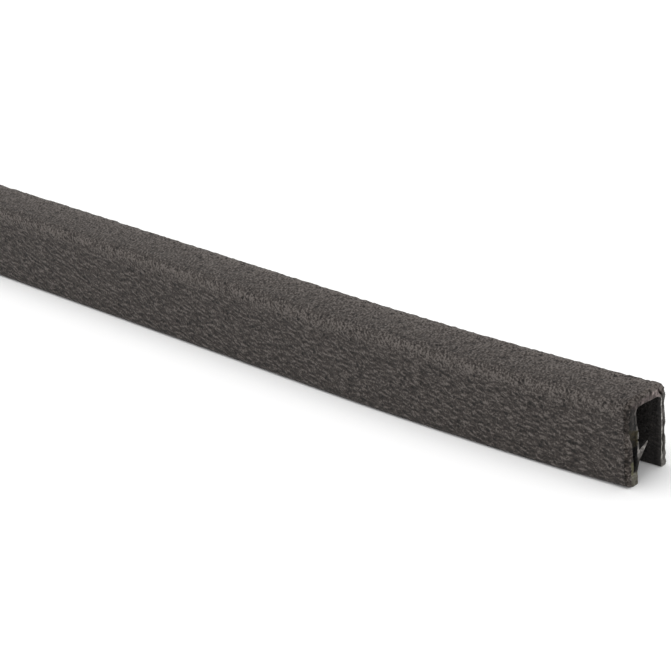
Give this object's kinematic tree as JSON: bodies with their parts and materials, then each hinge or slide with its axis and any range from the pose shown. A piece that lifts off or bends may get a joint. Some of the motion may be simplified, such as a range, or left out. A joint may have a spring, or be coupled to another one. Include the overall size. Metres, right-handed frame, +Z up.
{
  "type": "push-on edge trim",
  "caption": "Straight length of soft vinyl U-channel with leather-grain outside and an inner gripping tongue, pushed over a panel's raw edge to cover and seal it.",
  "frame": {"origin": "under the middle of the bounding box, on the level that the two leg tips rest on", "axes": "+X along the length, towards the end that has the slight sideways set; +Y across the channel, from the thick leg with the tongue to the thin plain leg; +Z up, from the leg tips to the closed web"},
  "size_m": [0.3048, 0.0122, 0.0143],
  "materials": {
    "soft_vinyl": "matt dark warm grey vinyl with a pebbled leather grain outside and smooth inside the channel"
  },
  "bodies": {
    "root": {"edge_trim": "soft_vinyl"}
  },
  "joints": []
}
